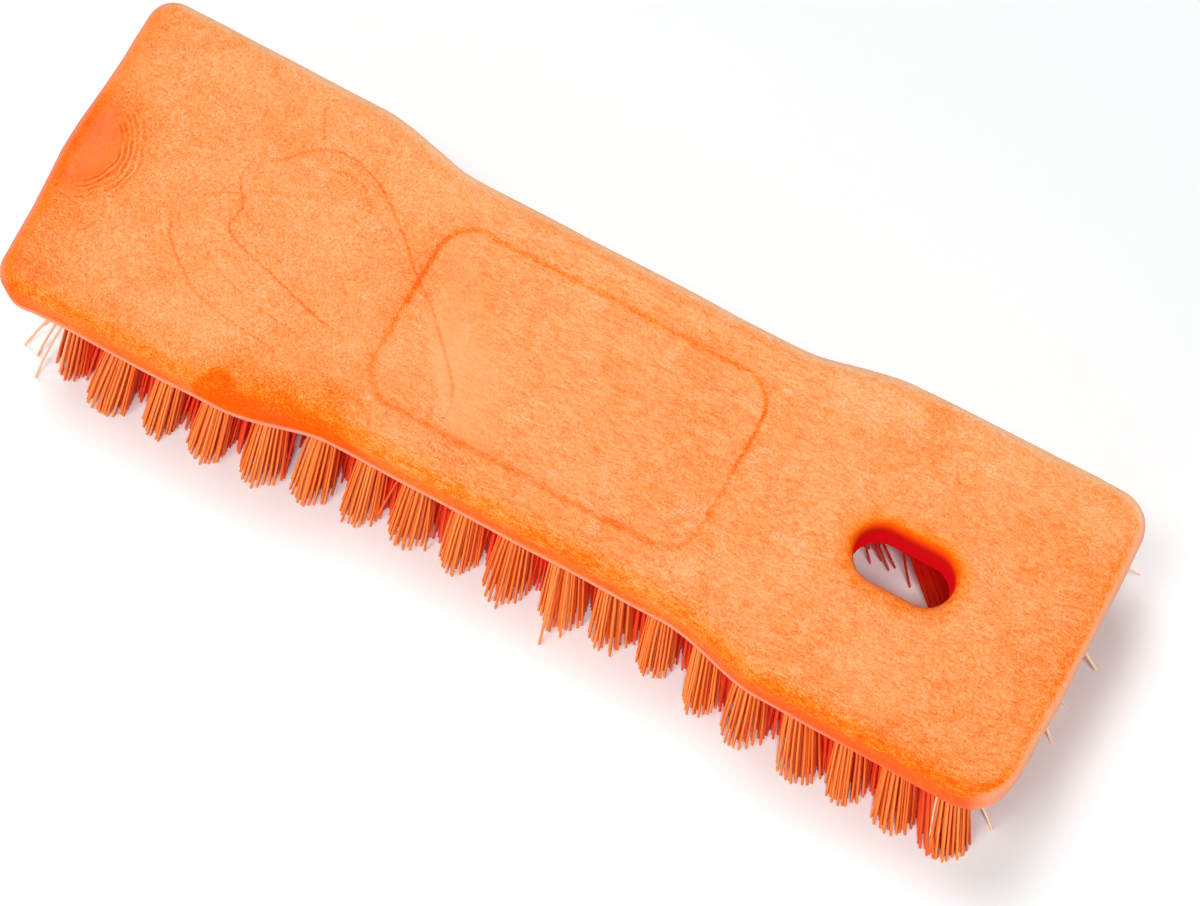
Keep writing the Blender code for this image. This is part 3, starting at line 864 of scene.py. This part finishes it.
def outward_of(tuft):
    """Which way the outside lies from a tuft at the edge of the field, or none for a tuft inside it."""
    end = 1.0 if abs(tuft.x) > HALF_FIELD - TUFT_PITCH / 2 else 0.0
    side = 1.0 if abs(tuft.lane) == LANES_PER_SIDE else 0.0
    away = np.array((math.copysign(end, tuft.x), math.copysign(side, tuft.y)))
    return away / max(np.linalg.norm(away), 1.0)


def painted_shade_depth(tuft, offsets):
    """How deep among the others each filament stands, 0 to 1, at every place along its path: the share of its
    painted shade.
    """
    outward = outward_of(tuft)
    roots = np.ones((len(offsets), len(offsets[0]), 1))
    if outward.any():
        out = np.array(offsets) @ outward / SOCKET_RADIUS
        roots[..., 0] = DEEPEST_SHADE_AT_EDGE * smooth(*EDGE_PLACES, out)
    fade = 1.0 - TIP_DAYLIGHT * smooth(*DAYLIGHT_PLACES, np.array(SHAFT_PLACES))
    return np.concatenate([roots[0] * fade, np.repeat(roots[0], FOLD_PLACES, 1), roots[1] * fade[::-1]], 1)


def tube_rings(paths, side_axis):
    """Rings of points round each centre line and the way each faces, as arrays (filament, place, side, 3)."""
    run = np.gradient(paths, axis=1)
    run /= np.linalg.norm(run, axis=2)[..., None]
    first = side_axis - (run @ side_axis)[..., None] * run
    first /= np.linalg.norm(first, axis=2)[..., None]
    second = np.cross(run, first)
    turn = 2 * math.pi * np.arange(FILAMENT_SIDES) / FILAMENT_SIDES
    ring = np.cos(turn)[:, None] * first[:, :, None] + np.sin(turn)[:, None] * second[:, :, None]
    return paths[:, :, None] + FILAMENT_RADIUS * ring, ring


def tubes_mesh(name, rings):
    """One mesh of closed tubes from an array of rings (tube, place, side, 3)."""
    tubes, places, sides, _ = rings.shape
    index = np.arange(tubes * places * sides).reshape(tubes, places, sides)
    low, high = index[:, :-1], index[:, 1:]
    walls = np.stack([low, np.roll(low, -1, 2), np.roll(high, -1, 2), high], -1).reshape(-1, 4)
    caps = np.concatenate([index[:, 0, ::-1], index[:, -1]])
    loops = np.concatenate([walls.ravel(), caps.ravel()])
    sizes = np.concatenate([np.full(len(walls), 4), np.full(len(caps), sides)])
    mesh = bpy.data.meshes.new(name)
    mesh.vertices.add(rings.size // 3)
    mesh.vertices.foreach_set("co", rings.astype(np.float32).ravel())
    mesh.loops.add(len(loops))
    mesh.loops.foreach_set("vertex_index", loops.astype(np.int32))
    mesh.polygons.add(len(sizes))
    mesh.polygons.foreach_set("loop_start", np.concatenate([[0], np.cumsum(sizes)[:-1]]).astype(np.int32))
    mesh.update(calc_edges=True)
    mesh.validate()
    mesh.shade_smooth()
    mesh.set_sharp_from_angle(angle=SHARP_ANGLE)
    return mesh


def make_bristles(name, nodes, tufts, rng, tints):
    """The tufts of one row, filament by filament."""
    rings, tint_and_backlight, painted_shade = [], [], []
    for tuft in tufts:
        paths, along, inside, tint = filament_paths(tuft, rng)
        points, outwards = tube_rings(paths, np.array((along[0], along[1], 0.0)))
        # Painted shade also on the flanks that face into the field
        flank_shade = FLANK_SHADE_DEPTH * smooth(*FLANK_FACING, outwards[..., :2] @ outward_of(tuft))
        rings.append(points)
        tint_and_backlight.append(np.repeat(tint, inside.shape[1] * FILAMENT_SIDES))
        painted_shade.append((inside[..., None] + (1.0 - inside[..., None]) * flank_shade).ravel())
    mesh = tubes_mesh(name, np.concatenate(rings))
    add_mark(mesh, "tint_and_backlight", np.concatenate(tint_and_backlight))
    add_mark(mesh, "painted_shade", np.concatenate(painted_shade))
    mesh.materials.append(tints)
    piece = place_piece(name, mesh)
    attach(piece, BODY)
    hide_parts(*nodes)


def make_wires(metal):
    """The flat wire in each socket that the filaments fold over."""
    along, across = direction(WIRE_TURN), direction(WIRE_TURN + 0.5 * math.pi)
    corners = SQUARE[:, :1] * WIRE_REACH * along + SQUARE[:, 1:] * WIRE_THICKNESS / 2 * across
    rings = []
    for tuft in all_tufts():
        for depth in (FOLD_DEPTH - WIRE_HEIGHT, FOLD_DEPTH):
            centre = (tuft.x, tuft.y) - tuft_lean(tuft) / BRISTLE_LENGTH * depth
            rings.append(np.column_stack([centre + corners, np.full(len(SQUARE), UNDERSIDE + depth)]))
    mesh = tubes_mesh("anchor_wires", np.reshape(rings, (-1, 2, len(SQUARE), 3)))
    mesh.materials.append(metal)
    piece = place_piece("anchor_wires", mesh)
    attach(piece, BODY)


class Nodes:
    """Short calls for making and linking the nodes of a material or of the world."""

    def __init__(self, owner, shader_name="Principled BSDF"):
        owner.use_nodes = True
        self.tree = owner.node_tree
        self.shader = self.tree.nodes[shader_name]

    def add(self, kind, values=(), **settings):
        node = self.tree.nodes.new("ShaderNode" + kind)
        for key, value in settings.items():
            setattr(node, key, value)
        self.feed(node, values)
        return node

    def feed(self, node, values):
        """Sets a node's inputs, or links those whose value is another node's output."""
        for key, value in dict(values).items():
            if isinstance(value, bpy.types.NodeSocket):
                self.tree.links.new(value, node.inputs[key])
            else:
                node.inputs[key].default_value = value

    def math(self, operation, first, second=0.0):
        return self.add("Math", {0: first, 1: second}, operation=operation).outputs[0]

    def times(self, *values):
        return reduce(lambda first, second: self.math("MULTIPLY", first, second), values)

    def plus(self, *values):
        return reduce(lambda first, second: self.math("ADD", first, second), values)

    def weigh(self, *parts):
        """The sum of noises, each taken about its middle and given its weight."""
        return self.plus(*[self.times(self.math("SUBTRACT", value, 0.5), weight) for value, weight in parts])

    def blend(self, share, first, second):
        """A colour between two."""
        return self.add("Mix", {0: share, 6: first, 7: second}, data_type="RGBA").outputs[2]

    def lerp(self, share, first, second):
        """A number between two."""
        return self.add("Mix", {0: share, 2: first, 3: second}, data_type="FLOAT").outputs[0]

    def ramp(self, value, low, high, start=0.0, end=1.0):
        values = {0: value, 1: low, 2: high, 3: start, 4: end}
        return self.add("MapRange", values, interpolation_type="SMOOTHSTEP").outputs[0]

    def colour_ramp(self, value, stops):
        node = self.add("ValToRGB", {0: value})
        ramp = node.color_ramp.elements
        while len(ramp) < len(stops):
            ramp.new(0.5)
        for element, (position, colour) in zip(ramp, stops):
            element.position = position
            element.color = colour
        return node.outputs[0]

    def noise(self, vector, scale, detail=2.0, roughness=0.5, distortion=0.0):
        values = {"Scale": scale, "Detail": detail, "Roughness": roughness, "Distortion": distortion}
        return self.add("TexNoise", {"Vector": vector, **values}).outputs[0]

    def stretch(self, vector, scale):
        return self.add("Mapping", {"Vector": vector, "Scale": scale}).outputs[0]

    def sway(self, vector, scale, reach):
        """The vector, moved by up to about half of reach in a smooth random way."""
        wander = self.add("TexNoise", {"Vector": vector, "Scale": scale, "Detail": 1.0}).outputs["Color"]
        middle = self.add("VectorMath", {0: wander, 1: (0.5, 0.5, 0.5)}, operation="SUBTRACT").outputs[0]
        moved = self.add("VectorMath", {0: middle, "Scale": reach}, operation="SCALE").outputs[0]
        return self.add("VectorMath", {0: vector, 1: moved}, operation="ADD").outputs[0]

    def attribute(self, name):
        return self.add("Attribute", attribute_name=name).outputs["Fac"]

    def place(self, kind="Object"):
        return self.add("TexCoord").outputs[kind]

    def axes(self, vector):
        return self.add("SeparateXYZ", {0: vector}).outputs

    def seen(self):
        return self.add("LightPath").outputs["Is Camera Ray"]


def new_material(name):
    material = bpy.data.materials.new(name)
    return material, Nodes(material)


# Colours of the block, from the deepest orange to the palest, the painted red shade of its hollows, its
# bloom, the painted pink reflection on its rims, and its specks
BLOCK_COLOURS = (
    (0.0, (0.96, 0.090, 0.003, 1.0)), (0.2, (0.95, 0.180, 0.004, 1.0)), (0.5, (0.955, 0.330, 0.092, 1.0)),
    (0.75, (0.965, 0.440, 0.190, 1.0)), (1.0, (0.970, 0.560, 0.320, 1.0)))
HOLLOW_SHADE_RED = (0.92, 0.010, 0.020, 1.0)
BLOOM_PEACH = (0.970, 0.560, 0.320, 1.0)
RIM_REFLECTION_PINK = (0.93, 0.36, 0.25, 1.0)
SPECK_ORANGE = (0.80, 0.20, 0.04, 1.0)
# The level on that scale of the plain plastic, and how much the tone, the ripples and two noises change it
PLAIN_LEVEL = 0.44
TONE_LEVEL = -0.3
RIPPLE_LEVEL = 0.2
PATCH_LEVEL, CLOUD_LEVEL = 0.3, 0.4
# Noises in the plastic: (scale, detail, roughness, distortion)
PATCH_NOISE = (330.0, 3.0, 0.6, 0.6)
CLOUD_NOISE = (75.0, 3.0, 0.55, 0.4)
FINE_NOISE = (3200.0, 2.0, 0.6)
STROKE_NOISE = (1650.0, 4.0, 0.66, 0.8)
LEATHER_NOISE = (1500.0, 4.0, 0.66, 1.6)
BLOOM_NOISE = (170.0, 3.0, 0.65, 1.2)
SPECK_NOISE = (2300.0, 2.0, 0.5)
RIPPLE_SWAY_NOISE = (230.0, 1.0, 0.5)
RIPPLE_PATCH_NOISE = (260.0, 2.0, 0.5, 0.3)
STROKE_STRETCH, LEATHER_STRETCH, SPECK_STRETCH = (0.3, 1.0, 1.0), (0.62, 0.85, 1.0), (0.6, 1.0, 1.0)
GRAIN_RELIEF = 0.16 * MM
BLOCK_ROUGHNESS = 0.42
PLASTIC_IOR = 1.49
# How much the hole's painted red shade glows of its own
HOLLOW_PAINTED_GLOW = 0.18


def gate_ripples(n, place, top):
    """The ripples round the gate mark, from -1 to 1, faded out where they don't show."""
    x, y = n.axes(place)[:2]
    dx, dy = n.math("SUBTRACT", x, GATE_X), n.math("SUBTRACT", y, GATE_Y)
    away = n.math("SQRT", n.plus(n.times(dx, dx), n.times(dy, dy)))
    swayed = n.plus(away, n.times(n.noise(place, *RIPPLE_SWAY_NOISE), RIPPLE_SWAY))
    wave = n.math("SINE", n.times(swayed, 2 * math.pi / RIPPLE_PITCH))
    begun = n.ramp(away, RIPPLE_START, RIPPLE_START + MM)
    ended = n.ramp(away, RIPPLE_END - 2 * MM, RIPPLE_END)
    right_of_gate = n.ramp(n.math("DIVIDE", dx, away), 0.3, 0.75)
    patchy = n.ramp(n.noise(place, *RIPPLE_PATCH_NOISE), 0.35, 0.6, 0.25, 1.0)
    return n.times(wave, begun, n.math("SUBTRACT", 1.0, ended), right_of_gate, patchy, top)


def block_material():
    """Orange plastic: fine swirls left of the panel, streaks along the block right of it, and soft clouds; a
    painted red shade that glows in the hole and a painted pink reflection on the rims.
    """
    material, n = new_material("moulded_orange")
    place = n.place()
    tone_and_shade, grain, rim_reflection, gloss = (n.attribute(mark) for mark in SHELL_MARKS)
    x = n.axes(place)[0]
    patch, cloud, fine = (n.noise(place, *kind) for kind in (PATCH_NOISE, CLOUD_NOISE, FINE_NOISE))
    drift = n.plus(x, n.weigh((cloud, 40 * MM)))
    in_streaks = n.times(n.ramp(drift, -36 * MM, -12 * MM), n.ramp(drift, 62 * MM, 34 * MM))
    swayed = n.sway(place, CLOUD_NOISE[0], n.lerp(in_streaks, 6 * MM, 1.2 * MM))
    strokes = n.noise(n.stretch(swayed, STROKE_STRETCH), *STROKE_NOISE)
    leather = n.noise(n.stretch(swayed, LEATHER_STRETCH), *LEATHER_NOISE)
    mottle = n.lerp(n.ramp(x, -20 * MM, -45 * MM), strokes, leather)
    clouds = n.times(n.weigh((patch, PATCH_LEVEL), (cloud, CLOUD_LEVEL)), n.lerp(grain, 0.3, 1.0))
    ripples = gate_ripples(n, place, gloss)
    level = n.plus(PLAIN_LEVEL, n.times(grain, n.weigh((mottle, 1.0), (fine, 1.0))), clouds,
                   n.times(ripples, RIPPLE_LEVEL), n.times(tone_and_shade, TONE_LEVEL))
    # Painted shade: the deepest tones turn to the hole's red, which also glows
    hollow_shade = n.ramp(tone_and_shade, HOLLOW_START, HOLLOW_FULL)
    bloom = n.times(n.ramp(n.noise(place, *BLOOM_NOISE), 0.52, 0.72), n.ramp(fine, 0.3, 0.7))
    specks = n.ramp(n.noise(n.stretch(place, SPECK_STRETCH), *SPECK_NOISE), 0.64, 0.74)
    colour = n.blend(hollow_shade, n.colour_ramp(level, BLOCK_COLOURS), HOLLOW_SHADE_RED)
    colour = n.blend(n.times(bloom, grain, n.ramp(tone_and_shade, 0.8, 0.1, 0.0, 0.4)), colour, BLOOM_PEACH)
    colour = n.blend(n.times(specks, grain, 0.55), colour, SPECK_ORANGE)
    # Painted reflection: pink where the rim mark is
    colour = n.blend(n.times(rim_reflection, n.ramp(fine, 0.3, 0.7, 0.6, 1.0)), colour, RIM_REFLECTION_PINK)
    relief = n.plus(n.times(mottle, n.plus(0.15, grain)), n.times(fine, 0.4))
    bump = n.add("Bump", {"Height": relief, "Strength": 0.55, "Distance": GRAIN_RELIEF}).outputs[0]
    bump = n.add("Bump", {"Height": ripples, "Strength": 1.0, "Distance": RIPPLE_HEIGHT, "Normal": bump})
    n.feed(n.shader, {"Base Color": colour, "Normal": bump.outputs[0], "IOR": n.lerp(gloss, 1.0, PLASTIC_IOR),
                      "Roughness": n.plus(BLOCK_ROUGHNESS, n.times(mottle, grain, 0.2), n.times(rim_reflection, 0.2)),
                      "Emission Color": HOLLOW_SHADE_RED, "Emission Strength": n.times(hollow_shade, HOLLOW_PAINTED_GLOW),
                      "Specular IOR Level": 0.25})
    return material


# Colours of the filaments, and how far up from the tips the lighter end reaches
BRISTLE_DARKER, BRISTLE_LIGHTER = (0.985, 0.225, 0.020, 1.0), (0.990, 0.350, 0.060, 1.0)
BRISTLE_END = (0.985, 0.36, 0.10, 1.0)
BRISTLE_STREAK = (0.96, 0.12, 0.010, 1.0)
# Painted shade: the deep red of filaments that stand among the others
SHADED_BRISTLE_RED = (0.76, 0.007, 0.003, 1.0)
# The pale cream of the sprung filaments, which at the right end is a painted backlight
PALE_FILAMENT = (0.97, 0.72, 0.48, 1.0)
END_REACH = 4.5 * MM
# How much that painted shade glows of its own
PAINTED_SHADE_GLOW = 0.09


def bristle_material():
    """Orange filament with painted shade: deep red, glowing a little of its own, where it stands among the
    others and little light gets in.
    """
    material, n = new_material("bristle_orange")
    tint_and_backlight, painted_shade = n.attribute("tint_and_backlight"), n.attribute("painted_shade")
    place = n.place()
    end = n.ramp(n.axes(place)[2], END_REACH, 0.0)
    streak = n.noise(n.stretch(place, (1.0, 1.0, 0.05)), 2500.0)
    colour = n.blend(tint_and_backlight, BRISTLE_DARKER, BRISTLE_LIGHTER)
    colour = n.blend(n.times(end, 0.3), colour, BRISTLE_END)
    colour = n.blend(n.times(streak, 0.3), colour, BRISTLE_STREAK)
    colour = n.blend(painted_shade, colour, SHADED_BRISTLE_RED)
    colour = n.blend(n.ramp(tint_and_backlight, 1.2, 1.8), colour, PALE_FILAMENT)
    n.feed(n.shader, {"Base Color": colour, "Roughness": n.plus(0.38, n.times(streak, 0.16)),
                      "IOR": PLASTIC_IOR, "Specular IOR Level": 0.12,
                      "Emission Color": SHADED_BRISTLE_RED, "Emission Strength": n.times(painted_shade, PAINTED_SHADE_GLOW)})
    return material


WIRE_DARK, WIRE_LIGHT = (0.42, 0.41, 0.39, 1.0), (0.62, 0.61, 0.58, 1.0)


def wire_material():
    """Drawn steel wire."""
    material, n = new_material("flat_wire")
    drawn = n.noise(n.stretch(n.place(), (1.0, 1.0, 0.2)), 3000.0, 3.0)
    n.feed(n.shader, {"Base Color": n.blend(drawn, WIRE_DARK, WIRE_LIGHT), "Metallic": 1.0,
                      "Roughness": n.plus(0.28, n.times(drawn, 0.2))})
    return material


# The floor's colour in the light it gives back, and as the camera sees it
FLOOR_WHITE = (0.90, 0.90, 0.90, 1.0)
FLOOR_SEEN = (0.92, 0.955, 0.96, 1.0)
FLOOR_REACH = 2.5
FLOOR_HEIGHT = -0.1 * MM


def make_floor():
    """A white table, which takes the brush's shadow."""
    material, n = new_material("white_table")
    n.feed(n.shader, {"Base Color": n.blend(n.seen(), FLOOR_WHITE, FLOOR_SEEN), "Roughness": 0.9,
                      "Specular IOR Level": 0.0})
    corners = [(x * FLOOR_REACH, y * FLOOR_REACH, FLOOR_HEIGHT) for x, y in SQUARE.tolist()]
    plain_piece("table_top", corners, [(0, 1, 2, 3)], material)


# The camera's place, worked out from the block's edges in the photograph
CAMERA_AZIMUTH = math.radians(28.82)
CAMERA_ELEVATION = math.radians(75.0)
CAMERA_ROLL = math.radians(-0.10)
CAMERA_DISTANCE = 0.6
CAMERA_TARGET = Vector((9.73, -6.11, 37.0)) * MM
CAMERA_LENS = 102.98
SENSOR_WIDTH = 36.0


def make_camera():
    data = bpy.data.cameras.new("camera")
    data.lens = CAMERA_LENS
    data.sensor_width = SENSOR_WIDTH
    data.clip_start, data.clip_end = 0.01, 20.0
    camera = place_piece("camera", data)
    camera.matrix_world = (Matrix.Translation(CAMERA_TARGET) @ Matrix.Rotation(CAMERA_AZIMUTH, 4, "Z")
                           @ Matrix.Rotation(0.5 * math.pi - CAMERA_ELEVATION, 4, "X")
                           @ Matrix.Rotation(CAMERA_ROLL, 4, "Z")
                           @ Matrix.Translation((0.0, 0.0, CAMERA_DISTANCE)))
    bpy.context.scene.camera = camera


# Square lamps: (place, power, size). Over shines down through the hanging hole, fill and side stand low.
LAMPS = {
    "key": ((-0.4, -0.5, 2.5), 13.0, 0.5),
    "back": ((-0.6, 0.5, 2.4), 28.0, 0.7),
    "fill": ((-0.6, -2.5, 0.45), 40.0, 1.1),
    "over": ((0.334, -0.596, 2.55), 25.0, 0.25),
    "side": ((2.8, 0.9, 0.22), 26.0, 0.35)}
LAMP_TARGET = Vector((0.0, 0.0, 0.02))
# The sky's strength near the horizon and overhead, and the heights between which it changes
HORIZON_STRENGTH, ZENITH_STRENGTH = 0.16, 0.04
HORIZON_TOP, ZENITH_START = 0.3, 0.55


def make_light():
    """The lamps, and a dim sky that is white where the camera sees it."""
    for name, (place, power, size) in LAMPS.items():
        data = bpy.data.lights.new(name, "AREA")
        data.energy = power
        data.size = size
        lamp = place_piece(name, data)
        lamp.location = place
        lamp.rotation_euler = (LAMP_TARGET - Vector(place)).to_track_quat("-Z", "Y").to_euler()
    world = bpy.data.worlds.new("studio")
    bpy.context.scene.world = world
    n = Nodes(world, "Background")
    height = n.axes(n.place("Generated"))[2]
    sky = n.ramp(height, HORIZON_TOP, ZENITH_START, HORIZON_STRENGTH, ZENITH_STRENGTH)
    n.feed(n.shader, {"Color": (1.0, 1.0, 1.0, 1.0), "Strength": n.lerp(n.seen(), sky, 1.0)})


def main():
    block = make_block(block_material())
    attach(block, BODY)
    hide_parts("block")
    rng = np.random.default_rng(RANDOM_SEED)
    tints = bristle_material()
    for column in range(COLUMNS):
        row = f"{column + 1:02d}"
        parts = {row: tuft_roots(column)}
        if meets_hole(column):
            parts = {row + "_far": [tuft for tuft in parts[row] if tuft.y > 0],
                     row + "_near": [tuft for tuft in parts[row] if tuft.y < 0]}
        for part, tufts in parts.items():
            make_bristles("bristles_" + part, ["tuft_row_" + part], tufts, rng, tints)
    make_wires(wire_material())
    make_floor()
    make_camera()
    make_light()
    bpy.context.scene.view_settings.view_transform = "Standard"


main()
